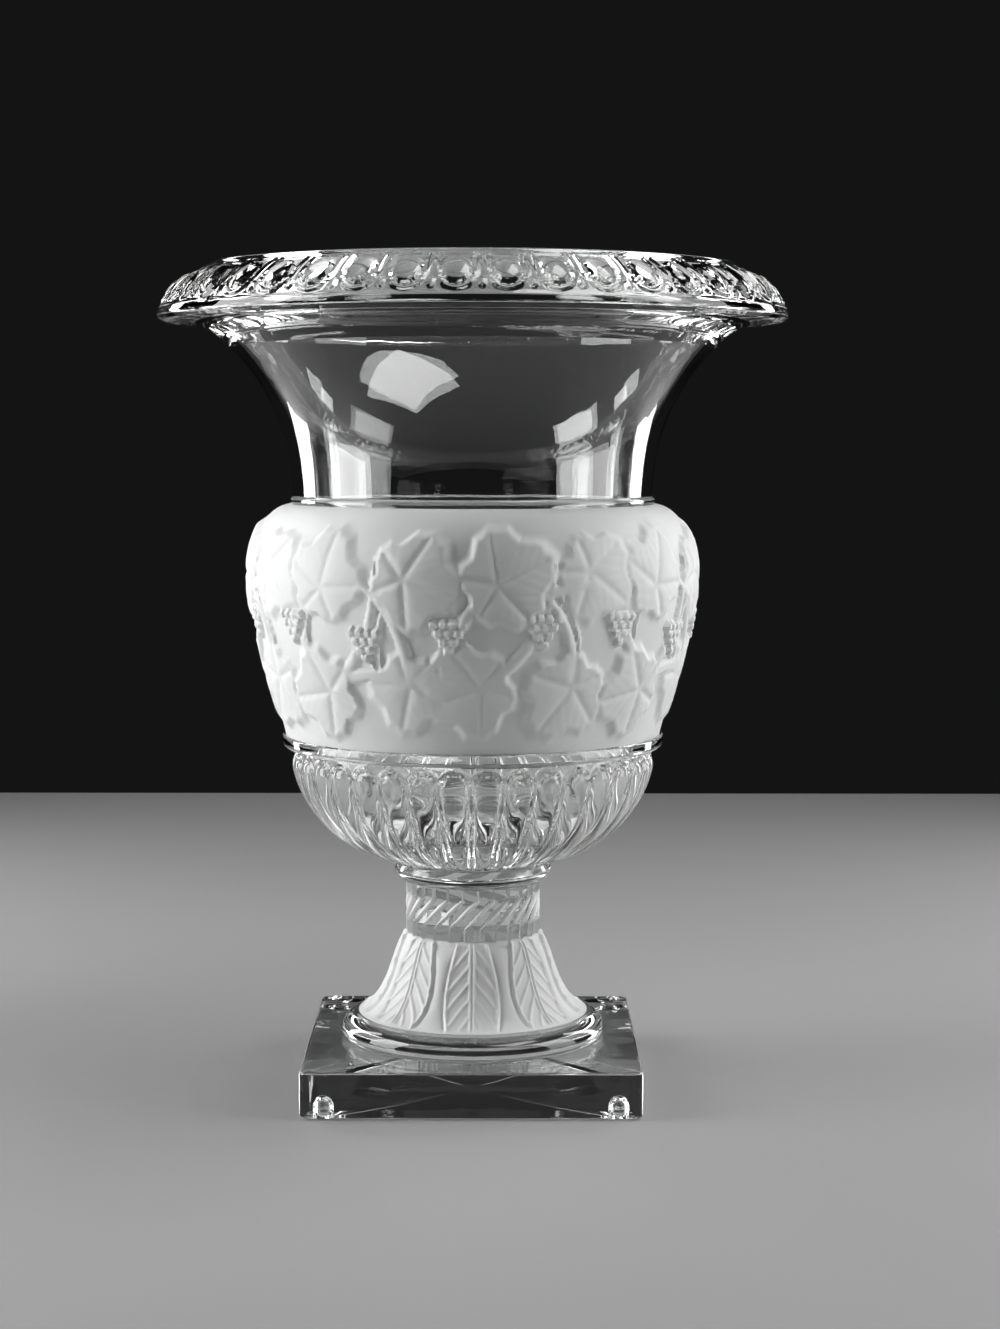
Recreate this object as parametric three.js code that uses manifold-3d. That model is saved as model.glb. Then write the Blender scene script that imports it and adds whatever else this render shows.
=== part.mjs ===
// A clear and frosted glass urn vase on a square plinth, in millimetres, +Z up.
// The origin is at the middle of the footprint, on the surface the vase stands on.
// The glass is a stack of turned sections that meet face to face on level seams.
import * as THREE from 'three';
import { mergeVertices } from 'three/addons/utils/BufferGeometryUtils.js';
import Module from 'manifold-3d';

const wasm = await Module();
wasm.setup();

// Plinth and the clear pads in its underside
const plinthSide = 115;
const plinthHeight = 15.7;
const plinthCornerRadius = 3.2;
const plinthEdgeBevel = 0.9;
const padRadius = 3.2;
const padHeight = 7;
const padProud = 0.5;
const padClearance = 0.3;
const padEdgeDistance = 8;

// Foot, bell and stem
const bondThickness = 0.2;
const footBondRadius = 44;
const footHeight = 8.6;
const footRadius = 47;
const footSeatRadius = 45.4;
const footStepRadius = 41.2;
const footStepHeight = 0.9;
const bellHeight = 28;
const bellBaseRadius = 40.4;
const bellTopRadius = 22.8;
const bellLeafCount = 8;
const bellLeafRelief = 0.9;
const stemHeight = 18;
const stemRadius = 21.8;
const ropeStrandCount = 26;
const ropeRelief = 1.1;
const ropeBandHeight = 10;
const ropeBandBase = 4.5;
const ropeLean = 45;
const collarHeight = 7.5;
const collarRadius = 27.6;
const collarSeatRadius = 24.5;

// Fluted bowl and the clear ring on it. A shift turns a row by that share of its spacing.
const bowlHeight = 40.8;
const bowlSeatRadius = 26.5;
const bowlRadius = 62.4;
const bowlHaunchRadius = 20;
const fluteCount = 36;
const fluteDepth = 1.5;
const fluteHeadGap = 2.2;
const fluteShift = 0.5;
const stemBondRadius = 23.5;
const ringHeight = 4.4;
const ringRadius = 66.6;
const ringFilletHeight = 1.2;

// Frosted frieze
const friezeHeight = 79.8;
const friezeFootRadius = 65.4;
const friezeBellyRadius = 77;
const friezeTopRadius = 63.6;
const friezeBellyShare = 0.7;
const leafRelief = 1.3;
const branchRelief = 1;
const branchWidth = 4;
const vineRepeats = 4;
const vineMargin = 4;

// Neck and rim
const neckHeight = 56.2;
const neckBeadHeight = 2.8;
const neckBeadRadius = 63.4;
const neckWaistRadius = 62.3;
const neckTopRadius = 86.4;
const rimHeight = 25.5;
const rimRadius = 108.7;
const rimEdgeHeight = 8.2;
const rimEdgeRadius = 1.8;
const rimTopRadius = 90.7;
const rimLandWidth = 3.2;
const eggCount = 42;
const eggRelief = 1.8;
const eggWidth = 11.6;
const eggLength = 14;
const eggShift = 0.25;

// The hollow inside
const floorThickness = 13.4;
const floorRadius = 20;
const bowlWall = 6;
const friezeWall = 6.4;
const neckWall = 5.3;
const rimWall = 5.9;

// Facets round each kind of section
const plainSegments = 48;
const hollowSegments = 48;
const segmentsPerFlute = 4;
const segmentsPerEgg = 4;
const segmentsPerStrand = 4;
const friezeSegments = 120;
const bellSegments = 64;
const padSegments = 16;

// Levels of the seams, each from the one below
const plinthTop = padProud + plinthHeight;
const footBase = plinthTop + bondThickness;
const bellBase = footBase + footHeight;
const stemBase = bellBase + bellHeight;
const collarBase = stemBase + stemHeight;
const collarTop = collarBase + collarHeight;
const bowlBase = collarTop + bondThickness;
const ringBase = bowlBase + bowlHeight;
const friezeBase = ringBase + ringHeight;
const neckBase = friezeBase + friezeHeight;
const rimBase = neckBase + neckHeight;
const rimTop = rimBase + rimHeight;
const floorLevel = bowlBase + floorThickness;

const clearGlass = { color: 0xeef3f4, roughness: 0.02, metalness: 0 };
const frostedGlass = { color: 0xe6e8e8, roughness: 0.6, metalness: 0 };
const clearBond = { color: 0xf4f7f7, roughness: 0.1, metalness: 0 };
const clearPad = { color: 0xdfe4e4, roughness: 0.25, metalness: 0 };

const at = (radius, level) => new THREE.Vector2(radius, level);

// Points along a curve, without its last one when another curve follows on.
function along(curve, steps, last = true) {
  const points = curve.getPoints(steps);
  return last ? points : points.slice(0, -1);
}

// A smooth curve whose handles are given as points.
const bend = (from, handle, otherHandle, to) =>
  new THREE.CubicBezierCurve(from, handle, otherHandle, to);

// A quarter of an ellipse that rises from under its centre to beside it.
function rising(centreRadius, topLevel, width, height, fromRadius, steps) {
  const first = Math.asin(Math.min(1, (fromRadius - centreRadius) / width));
  const points = [];
  for (let step = 0; step <= steps; step += 1) {
    const turn = first + (Math.PI / 2 - first) * (step / steps);
    points.push(at(centreRadius + width * Math.sin(turn), topLevel - height * Math.cos(turn)));
  }
  return points;
}

// Turns an outline about the Z axis. The outline starts and ends on the axis.
function turned(outline, segments) {
  const geometry = new THREE.LatheGeometry(outline, segments);
  geometry.rotateX(Math.PI / 2);
  return geometry;
}

// Moves each point of a turned shape along its normal by relief(angle, level, radius).
function embossed(geometry, relief) {
  const place = geometry.attributes.position;
  const normal = geometry.attributes.normal;
  for (let i = 0; i < place.count; i += 1) {
    const x = place.getX(i);
    const y = place.getY(i);
    const lift = relief(Math.atan2(y, x), place.getZ(i), Math.hypot(x, y));
    place.setXYZ(
      i,
      x + normal.getX(i) * lift,
      y + normal.getY(i) * lift,
      place.getZ(i) + normal.getZ(i) * lift,
    );
  }
  return geometry;
}

// Turns each level of a shape about the Z axis by twist(level), so that its columns lean.
function twisted(geometry, twist) {
  const place = geometry.attributes.position;
  for (let i = 0; i < place.count; i += 1) {
    const point = new THREE.Vector3().fromBufferAttribute(place, i);
    point.applyAxisAngle(new THREE.Vector3(0, 0, 1), twist(point.z));
    place.setXYZ(i, point.x, point.y, point.z);
  }
  return geometry;
}

// The closed solid of a geometry, for cutting and joining.
function solid(geometry) {
  const bare = geometry.index ? geometry.clone() : geometry;
  bare.deleteAttribute('normal');
  bare.deleteAttribute('uv');
  const merged = mergeVertices(bare, 1e-4);
  const corners = merged.index.array;
  const kept = [];
  for (let i = 0; i < corners.length; i += 3) {
    const [a, b, c] = corners.slice(i, i + 3);
    if (a !== b && b !== c && c !== a) kept.push(a, b, c);
  }
  return new wasm.Manifold(new wasm.Mesh({
    numProp: 3,
    vertProperties: new Float32Array(merged.attributes.position.array),
    triVerts: new Uint32Array(kept),
  }));
}

function geometryOf(manifold) {
  const mesh = manifold.getMesh();
  const geometry = new THREE.BufferGeometry();
  geometry.setAttribute('position', new THREE.BufferAttribute(mesh.vertProperties, 3));
  geometry.setIndex(new THREE.BufferAttribute(mesh.triVerts, 1));
  geometry.computeVertexNormals();
  return geometry;
}

const urn = new THREE.Group();

function add(name, geometry, finish) {
  const mesh = new THREE.Mesh(geometry, new THREE.MeshStandardMaterial(finish));
  mesh.name = name;
  urn.add(mesh);
  return mesh;
}

// Distance round the circle between two angles, from -half a turn to half a turn.
function apart(angle, other) {
  return Math.atan2(Math.sin(angle - other), Math.cos(angle - other));
}

// A round-topped bump: one at its middle and nothing from a distance of one on.
const dome = (distance) => (distance < 1 ? Math.sqrt(1 - distance * distance) : 0);

// A soft-topped pad with steep sides.
const pad = (distance) => (distance < 1 ? Math.min(1, 2.5 * (1 - distance)) : 0);

// The hollow of the vase: a level floor, a round haunch, then one wall up to the mouth.
function hollow() {
  const reach = 2;
  const mouth = at(rimTopRadius - rimLandWidth, rimTop);
  const throat = at(neckTopRadius - rimWall, rimBase);
  const waist = at(neckWaistRadius - neckWall, neckBase);
  const belly = at(friezeBellyRadius - friezeWall, friezeBase + friezeHeight * friezeBellyShare);
  const shoulder = at(bowlRadius - bowlWall, ringBase);
  const haunch = rising(
    floorRadius, ringBase, shoulder.x - floorRadius, ringBase - floorLevel, floorRadius, 5);
  const rise = belly.y - shoulder.y;
  const fall = waist.y - belly.y;
  const outline = [
    at(0, floorLevel),
    ...haunch.slice(0, -1),
    ...along(bend(shoulder, at(shoulder.x, shoulder.y + rise * 0.35),
      at(belly.x, belly.y - rise * 0.4), belly), 4, false),
    ...along(bend(belly, at(belly.x, belly.y + fall * 0.5),
      at(waist.x, waist.y - fall * 0.2), waist), 4, false),
    ...along(bend(waist, at(waist.x, waist.y + neckHeight * 0.55),
      at(throat.x - 11, throat.y - 11), throat), 5, false),
    throat,
    mouth,
    at(mouth.x + reach * 0.5, rimTop + reach),
    at(0, rimTop + reach),
  ];
  return solid(turned(outline, hollowSegments));
}

const hollowSolid = hollow();

function plinth() {
  const half = plinthSide / 2;
  const inner = half - plinthEdgeBevel;
  const corner = plinthCornerRadius - plinthEdgeBevel;
  const outline = new THREE.Shape();
  outline.moveTo(-inner + corner, -inner);
  outline.lineTo(inner - corner, -inner);
  outline.absarc(inner - corner, -inner + corner, corner, -Math.PI / 2, 0);
  outline.lineTo(inner, inner - corner);
  outline.absarc(inner - corner, inner - corner, corner, 0, Math.PI / 2);
  outline.lineTo(-inner + corner, inner);
  outline.absarc(-inner + corner, inner - corner, corner, Math.PI / 2, Math.PI);
  outline.lineTo(-inner, -inner + corner);
  outline.absarc(-inner + corner, -inner + corner, corner, Math.PI, 1.5 * Math.PI);
  const block = new THREE.ExtrudeGeometry(outline, {
    depth: plinthHeight - 2 * plinthEdgeBevel,
    bevelThickness: plinthEdgeBevel,
    bevelSize: plinthEdgeBevel,
    bevelSegments: 1,
    curveSegments: 4,
  });
  block.translate(0, 0, padProud + plinthEdgeBevel);
  let body = solid(block);
  for (const [x, y] of padPlaces()) {
    const socket = bullet(padRadius + padClearance, padProud - 1, padHeight + padClearance);
    socket.translate(x, y, 0);
    body = body.subtract(solid(socket));
  }
  return geometryOf(body);
}

function padPlaces() {
  const reach = plinthSide / 2 - padEdgeDistance;
  return [[-reach, -reach], [reach, -reach], [-reach, reach], [reach, reach]];
}

// A short upright cylinder with a domed top.
function bullet(radius, low, high) {
  const crown = rising(0, high - radius, radius, -radius, 0, 3).reverse();
  return turned([at(0, low), at(radius, low), ...crown], padSegments);
}

function footRing() {
  const shoulder = bellBase - footStepHeight;
  const outline = [
    at(0, footBase),
    at(footSeatRadius, footBase),
    ...along(bend(at(footSeatRadius + 0.6, footBase + 0.5), at(footRadius + 0.3, footBase + 1.8),
      at(footRadius + 0.2, shoulder - 2.6), at(footStepRadius + 2, shoulder)), 6),
    at(footStepRadius, shoulder),
    at(footStepRadius, bellBase),
    at(0, bellBase),
  ];
  return geometryOf(solid(turned(outline, plainSegments)));
}

// Outer wall of the bell, flared below and rounded in at the shoulder.
function bellOutline() {
  return bend(at(bellBaseRadius, bellBase), at(bellBaseRadius * 0.71, bellBase + bellHeight * 0.14),
    at(bellTopRadius + 5.2, stemBase - bellHeight * 0.07), at(bellTopRadius, stemBase));
}

function leafBell() {
  const outline = [
    at(0, bellBase), ...along(bellOutline(), 8), at(0, stemBase)];
  const shape = turned(outline, bellSegments);
  const spacing = (2 * Math.PI) / bellLeafCount;
  embossed(shape, (angle, level, radius) => {
    const share = (level - bellBase) / bellHeight;
    if (radius < stemRadius || share < 0.06 || share > 0.94) return 0;
    const leaf = Math.round(angle / spacing) * spacing;
    const across = Math.abs(apart(angle, leaf)) / (spacing / 2);
    const body = pad(across * 1.05) * Math.sin(Math.PI * share);
    return bellLeafRelief * (body - 0.5);
  });
  return geometryOf(solid(shape));
}

function ropeStem() {
  const rows = 6;
  const outline = [at(0, stemBase), at(stemRadius, stemBase)];
  for (let row = 0; row <= rows; row += 1) {
    outline.push(at(stemRadius, stemBase + ropeBandBase + (ropeBandHeight * row) / rows));
  }
  outline.push(at(stemRadius, collarBase), at(0, collarBase));
  const shape = turned(outline, ropeStrandCount * segmentsPerStrand);
  const lean = Math.tan((ropeLean * Math.PI) / 180) / stemRadius;
  const upBand = (level) => Math.min(Math.max(level - stemBase - ropeBandBase, 0), ropeBandHeight);
  embossed(shape, (angle, level, radius) => {
    const up = upBand(level) / ropeBandHeight;
    if (radius < stemRadius - 0.01 || up <= 0 || up >= 1) return 0;
    const across = Math.cos(angle * ropeStrandCount) * 0.65 + 0.35;
    return ropeRelief * Math.sqrt(Math.sin(Math.PI * up)) * Math.max(0, across);
  });
  twisted(shape, (level) => lean * upBand(level));
  return geometryOf(solid(shape));
}

function collar() {
  const middle = collarBase + collarHeight * 0.68;
  const outline = [
    at(0, collarBase),
    at(stemRadius, collarBase),
    ...along(bend(at(stemRadius + 0.6, collarBase + 0.6), at(collarRadius - 1.5, collarBase + 0.8),
      at(collarRadius, middle - 2.4), at(collarRadius, middle)), 4),
    at(collarSeatRadius + 2.2, collarTop - 0.5),
    at(collarSeatRadius, collarTop),
    at(0, collarTop),
  ];
  return geometryOf(solid(turned(outline, plainSegments)));
}

function bond(radius, level) {
  const outline = [
    at(0, level), at(radius, level), at(radius, level + bondThickness), at(0, level + bondThickness)];
  return geometryOf(solid(turned(outline, plainSegments)));
}

// Upright lobes with round heads under the ring, narrowing to the seat.
function flutes(angle, level, radius) {
  if (level <= bowlBase + 0.01 || level >= ringBase - 0.01) return 0;
  const spacing = (2 * Math.PI) / fluteCount;
  const across = apart(angle, (Math.round(angle / spacing - fluteShift) + fluteShift) * spacing) * radius;
  const halfWidth = (spacing * radius) / 2;
  const headCentre = ringBase - fluteHeadGap - halfWidth;
  const over = Math.max(0, level - headCentre);
  return fluteDepth * (dome(Math.hypot(across, over) / halfWidth) - 0.9);
}

function flutedBowl() {
  const wall = rising(bowlHaunchRadius, ringBase, bowlRadius - bowlHaunchRadius + fluteDepth * 0.9,
    bowlHeight, bowlSeatRadius, 8);
  wall[0].y = bowlBase;
  const outline = [at(0, bowlBase), ...wall, at(0, ringBase)];
  const shape = turned(outline, fluteCount * segmentsPerFlute);
  return geometryOf(solid(embossed(shape, flutes)).subtract(hollowSolid));
}

function bowlRing() {
  const outline = [
    at(0, ringBase),
    at(ringRadius - 1.1, ringBase),
    at(ringRadius, ringBase + ringFilletHeight),
    at(ringRadius, friezeBase - 0.5),
    at(ringRadius - 0.5, friezeBase),
    at(0, friezeBase),
  ];
  return geometryOf(solid(turned(outline, plainSegments)).subtract(hollowSolid));
}

// One repeat of the vine, as shares of its width and of the frieze's height.
// Leaves: place across, place up, half size in millimetres, turn of the tip in degrees.
const leaves = [
  [0.12, 0.72, 17, 20],
  [0.38, 0.8, 15, -35],
  [0.6, 0.6, 14, 60],
  [0.86, 0.78, 15, -10],
  [0.08, 0.26, 16, 150],
  [0.34, 0.3, 15, 205],
  [0.62, 0.22, 16, 170],
  [0.88, 0.32, 14, 120],
];

// Places of the berry clusters, in the same shares.
const clusters = [[0.24, 0.52], [0.48, 0.52], [0.74, 0.46], [0.98, 0.5]];
const clusterRadius = 6;
const clusterRelief = 1.2;

function vine(angle, level, radius) {
  const up = (level - friezeBase) / friezeHeight;
  const fromEdge = Math.min(level - friezeBase, neckBase - level);
  if (fromEdge <= 0.01) return 0;
  const fade = Math.min(1, fromEdge / vineMargin);
  const repeat = (2 * Math.PI) / vineRepeats;
  const width = repeat * radius;
  const turns = (((angle % repeat) + repeat) % repeat) / repeat;
  const nearest = (share) => (turns - share - Math.round(turns - share)) * width;
  let lift = 0;
  for (const [across, height, size, tip] of leaves) {
    const x = nearest(across);
    const y = (up - height) * friezeHeight;
    const way = Math.atan2(y, x) - (tip * Math.PI) / 180;
    const edge = size * (0.86 + 0.14 * Math.cos(5 * way));
    lift = Math.max(lift, leafRelief * pad(Math.hypot(x, y) / edge));
  }
  for (const [across, height] of clusters) {
    const distance = Math.hypot(nearest(across), (up - height) * friezeHeight) / clusterRadius;
    lift = Math.max(lift, clusterRelief * dome(distance));
  }
  const wave = 0.5 + 0.22 * Math.sin(2 * Math.PI * turns);
  const off = Math.abs(up - wave) * friezeHeight;
  lift = Math.max(lift, branchRelief * dome(off / (branchWidth / 2)));
  return lift * fade;
}

function vineFrieze() {
  const foot = at(friezeFootRadius, friezeBase);
  const belly = at(friezeBellyRadius, friezeBase + friezeHeight * friezeBellyShare);
  const top = at(friezeTopRadius, neckBase);
  const rise = belly.y - foot.y;
  const fall = top.y - belly.y;
  const outline = [
    at(0, foot.y),
    ...along(bend(foot, at(foot.x + 4, foot.y + rise * 0.3),
      at(belly.x, belly.y - rise * 0.35), belly), 9, false),
    ...along(bend(belly, at(belly.x, belly.y + fall * 0.62),
      at(top.x + 7, top.y - 0.6), top), 5),
    at(0, top.y),
  ];
  const shape = embossed(turned(outline, friezeSegments), vine);
  return geometryOf(solid(shape).subtract(hollowSolid));
}

function neck() {
  const waist = neckBase + neckBeadHeight;
  const outline = [
    at(0, neckBase),
    at(neckBeadRadius - 0.4, neckBase),
    at(neckBeadRadius, neckBase + neckBeadHeight * 0.35),
    at(neckBeadRadius - 0.2, waist - 0.6),
    ...along(bend(at(neckWaistRadius, waist), at(neckWaistRadius + 1.2, waist + neckHeight * 0.5),
      at(neckTopRadius - 10.4, rimBase - 10), at(neckTopRadius, rimBase)), 6),
    at(0, rimBase),
  ];
  return geometryOf(solid(turned(outline, plainSegments)).subtract(hollowSolid));
}

// Height over the lip's slope of the row of eggs, each with a hollow round it.
function eggs(angle, level, radius) {
  const edge = rimBase + rimEdgeHeight;
  const middle = at((rimRadius + rimTopRadius) / 2 + 3, (edge + rimTop) / 2);
  const spacing = (2 * Math.PI) / eggCount;
  const across = apart(angle, (Math.round(angle / spacing - eggShift) + eggShift) * spacing) * radius;
  const slope = Math.hypot(radius - middle.x, level - middle.y);
  if (level < edge || level > rimTop - 1) return 0;
  return eggRelief * (dome(Math.hypot(across / (eggWidth / 2), slope / (eggLength / 2))) - 0.5);
}

function eggRim() {
  const edge = at(rimRadius - rimEdgeRadius, rimBase + rimEdgeHeight);
  const shoulder = at(rimRadius - 0.5, edge.y + rimEdgeRadius);
  const top = at(rimTopRadius, rimTop);
  const outline = [
    at(0, rimBase),
    ...along(bend(at(neckTopRadius, rimBase), at(neckTopRadius + 4.5, rimBase + 5.5),
      at(edge.x - 5, edge.y - rimEdgeRadius - 0.2), at(edge.x, edge.y - rimEdgeRadius)), 2),
    at(rimRadius, edge.y - 0.4),
    ...along(bend(shoulder, at(rimRadius - 1, edge.y + 6),
      at(top.x + 9, top.y - 4), at(top.x + 1.8, top.y - 1.4)), 6),
    at(top.x + 0.6, top.y),
    at(top.x - rimLandWidth - 1, top.y),
    at(0, top.y),
  ];
  const shape = turned(outline, eggCount * segmentsPerEgg);
  return geometryOf(solid(embossed(shape, eggs)).subtract(hollowSolid));
}

add('plinth', plinth(), clearGlass);
const padNames = ['pad_front_left', 'pad_front_right', 'pad_rear_left', 'pad_rear_right'];
padPlaces().forEach(([x, y], i) => {
  const stop = add(padNames[i], geometryOf(solid(bullet(padRadius, 0, padHeight))), clearPad);
  stop.position.set(x, y, 0);
});
add('foot_bond', bond(footBondRadius, plinthTop), clearBond);
add('foot_ring', footRing(), clearGlass);
add('leaf_bell', leafBell(), frostedGlass);
add('rope_stem', ropeStem(), clearGlass);
add('collar', collar(), clearGlass);
add('stem_bond', bond(stemBondRadius, collarTop), clearBond);
add('fluted_bowl', flutedBowl(), clearGlass);
add('bowl_ring', bowlRing(), clearGlass);
add('vine_frieze', vineFrieze(), frostedGlass);
add('neck', neck(), clearGlass);
add('egg_rim', eggRim(), clearGlass);

export default urn;
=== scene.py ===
"""A footed urn vase in clear and frosted pressed glass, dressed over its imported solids."""

import math

import bpy
import numpy as np
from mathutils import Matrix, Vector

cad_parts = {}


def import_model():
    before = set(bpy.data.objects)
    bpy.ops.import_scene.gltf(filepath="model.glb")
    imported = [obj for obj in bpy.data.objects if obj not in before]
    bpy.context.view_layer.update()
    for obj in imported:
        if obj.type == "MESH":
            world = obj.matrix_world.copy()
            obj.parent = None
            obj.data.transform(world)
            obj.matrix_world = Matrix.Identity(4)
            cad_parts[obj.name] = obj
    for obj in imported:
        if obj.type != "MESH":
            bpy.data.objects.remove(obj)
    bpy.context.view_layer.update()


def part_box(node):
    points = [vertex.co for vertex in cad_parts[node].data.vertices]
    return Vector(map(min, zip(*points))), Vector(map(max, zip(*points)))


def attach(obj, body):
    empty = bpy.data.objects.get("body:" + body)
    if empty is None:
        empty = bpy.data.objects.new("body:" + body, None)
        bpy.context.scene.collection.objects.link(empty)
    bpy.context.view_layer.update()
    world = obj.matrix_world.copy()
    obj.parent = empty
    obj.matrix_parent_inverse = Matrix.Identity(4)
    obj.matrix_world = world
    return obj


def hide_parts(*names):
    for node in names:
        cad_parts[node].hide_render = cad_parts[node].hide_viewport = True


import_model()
MM = 0.001

# The camera, fitted to the rings of the vase and the corners of its plinth: place in millimetres, turns
# in degrees, focal length and frame height in pixels, sensor in millimetres
CAMERA_PLACE = (9.4, -871.4, 228.5)
CAMERA_PITCH = 5.32
CAMERA_ROLL = -0.07
CAMERA_REACH_METRES = 20
FOCAL_PIXELS = 2496
FRAME_HEIGHT = 1329
SENSOR = 36.0


def level_of(node, end):
    """Lowest (0) or highest (1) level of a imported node, in millimetres."""
    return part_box(node)[end][2] / MM


def width_of(node):
    """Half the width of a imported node, in millimetres."""
    low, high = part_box(node)
    return (high[0] - low[0]) / 2 / MM


# Levels of the seams
PLINTH_BASE = level_of("plinth", 0)
PLINTH_TOP = level_of("plinth", 1)
FOOT_BASE = level_of("foot_ring", 0)
BELL_BASE = level_of("leaf_bell", 0)
STEM_BASE = level_of("rope_stem", 0)
COLLAR_BASE = level_of("collar", 0)
COLLAR_TOP = level_of("collar", 1)
BOWL_BASE = level_of("fluted_bowl", 0)
RING_BASE = level_of("bowl_ring", 0)
FRIEZE_BASE = level_of("vine_frieze", 0)
NECK_BASE = level_of("neck", 0)
RIM_BASE = level_of("egg_rim", 0)
RIM_TOP = level_of("egg_rim", 1)

# Radii and heights of the turned outlines, in millimetres
FOOT_BOND_RADIUS = width_of("foot_bond")
STEM_BOND_RADIUS = width_of("stem_bond")
FOOT_RADIUS = 46.6
FOOT_SEAT_RADIUS = 45.4
FOOT_STEP_RADIUS = 41.2
FOOT_STEP_HEIGHT = 0.9
BELL_BASE_RADIUS = 40.4
BELL_TOP_RADIUS = 22.8
STEM_RADIUS = 21.8
COLLAR_RADIUS = 27.6
COLLAR_SEAT_RADIUS = 24.5
COLLAR_MIDDLE_SHARE = 0.68
BOWL_SEAT_RADIUS = 26.5
BOWL_RADIUS = 63.75
BOWL_HAUNCH_RADIUS = 20.0
RING_RADIUS = width_of("bowl_ring")
FRIEZE_FOOT_RADIUS = 65.4
FRIEZE_BELLY_RADIUS = 77.0
FRIEZE_TOP_RADIUS = 63.6
FRIEZE_HEIGHT = NECK_BASE - FRIEZE_BASE
FRIEZE_BELLY_SHARE = 0.7
BELLY_LEVEL = FRIEZE_BASE + FRIEZE_HEIGHT * FRIEZE_BELLY_SHARE
NECK_BEAD_RADIUS = 63.4
NECK_BEAD_HEIGHT = 2.8
NECK_SEAT_RADIUS = NECK_BEAD_RADIUS - 0.4
NECK_WAIST_RADIUS = 62.3
NECK_TOP_RADIUS = 86.4
NECK_HEIGHT = RIM_BASE - NECK_BASE
RIM_RADIUS = width_of("egg_rim")
RIM_EDGE_HEIGHT = 8.2
RIM_TOP_RADIUS = 90.7
RIM_LAND_WIDTH = 3.2

# The hollow, in millimetres
FLOOR_LEVEL = BOWL_BASE + 13.4
FLOOR_RADIUS = 20.0
HOLLOW_SHOULDER_RADIUS = 56.4
HOLLOW_BELLY_RADIUS = 70.6
HOLLOW_WAIST_RADIUS = 57.0
HOLLOW_THROAT_RADIUS = 80.5
HOLLOW_THROAT_HANDLE = 11
HOLLOW_MOUTH_RADIUS = RIM_TOP_RADIUS - RIM_LAND_WIDTH

# Points round the axis: in all, to a flute, egg or strand, and outside to each one inside
RELIEF_COLUMNS = 640
REPEAT_COLUMNS = 20
HOLLOW_SHARE = 5
# Least distances that count, in millimetres, and the angle in degrees from which an edge is sharp
LEAST_STEP = 0.05
LEAST_LENGTH = 1e-9
SHARP_ANGLE = 35


# Outlines in the plane of radius and level, as arrays of two columns


def points(*pairs):
    """Corners given one by one, as an array."""
    return np.array(pairs, float)


def bend(start, handle, other, end, steps):
    """Cubic Bezier curve: the four points weighted by the Bernstein polynomials of t from 0 to 1."""
    t = np.linspace(0.0, 1.0, steps + 1)[:, None]
    weights = [(1 - t) ** 3, 3 * t * (1 - t) ** 2, 3 * t**2 * (1 - t), t**3]
    return sum(weight * corner for weight, corner in zip(weights, points(start, handle, other, end)))


def quarter_ellipse(centre, width, height, start_radius, steps):
    """From under an ellipse's centre up to beside it: centre + (width sin t, -height cos t)."""
    first = math.asin(np.clip((start_radius - centre[0]) / width, -1, 1))
    t = np.linspace(first, math.pi / 2, steps + 1)
    return np.stack([centre[0] + width * np.sin(t), centre[1] - height * np.cos(t)], 1)


def rounded(corners, radius, steps=4):
    """Replaces each inner corner of a line by a quadratic curve that starts and ends radius away from
    it, or halfway to the next corner where that is nearer."""
    t = np.linspace(0, 1, steps + 1)[:, None]

    def away(corner, neighbour):
        way = neighbour - corner
        length = np.linalg.norm(way)
        return corner + way / length * min(radius, length / 2)

    out = [corners[:1]]
    for before, corner, after in zip(corners[:-2], corners[1:-1], corners[2:]):
        start = away(corner, before)
        end = away(corner, after)
        out.append((1 - t) ** 2 * start + 2 * t * (1 - t) * corner + t * t * end)
    out.append(corners[-1:])
    return np.concatenate(out)


def lengths_along(outline):
    """Length along a line from its start to each of its points."""
    return np.concatenate([[0], np.cumsum(np.linalg.norm(np.diff(outline, axis=0), axis=1))])


def evenly(outline, spacing):
    """The same line with points at an even spacing along its length."""
    lengths = lengths_along(outline)
    count = max(2, int(round(lengths[-1] / spacing)) + 1)
    at = np.linspace(0, lengths[-1], count)
    return np.stack([np.interp(at, lengths, outline[:, 0]), np.interp(at, lengths, outline[:, 1])], 1)


def outward(outline):
    """Normals of a line that runs upwards on the outside: its direction turned a quarter to the right."""
    way = np.gradient(outline, axis=0)
    way /= np.maximum(np.linalg.norm(way, axis=1, keepdims=True), LEAST_LENGTH)
    return np.stack([way[:, 1], -way[:, 0]], 1)


# Meshes


def ring_points(outline, columns, relief=None, twist=0.0):
    """Turns an outline about Z: a grid of rows by columns, moved along the outline's normal by relief,
    an array of rows by columns, and turned about Z by twist, an angle for each row."""
    angle = np.arange(columns) * (2 * math.pi / columns) + np.reshape(twist, (-1, 1))
    radius = np.repeat(outline[:, :1], columns, 1)
    level = np.repeat(outline[:, 1:], columns, 1)
    if relief is not None:
        normal = outward(outline)
        radius = radius + normal[:, :1] * relief
        level = level + normal[:, 1:] * relief
    return np.stack([radius * np.cos(angle), radius * np.sin(angle), level], 2)


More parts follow.
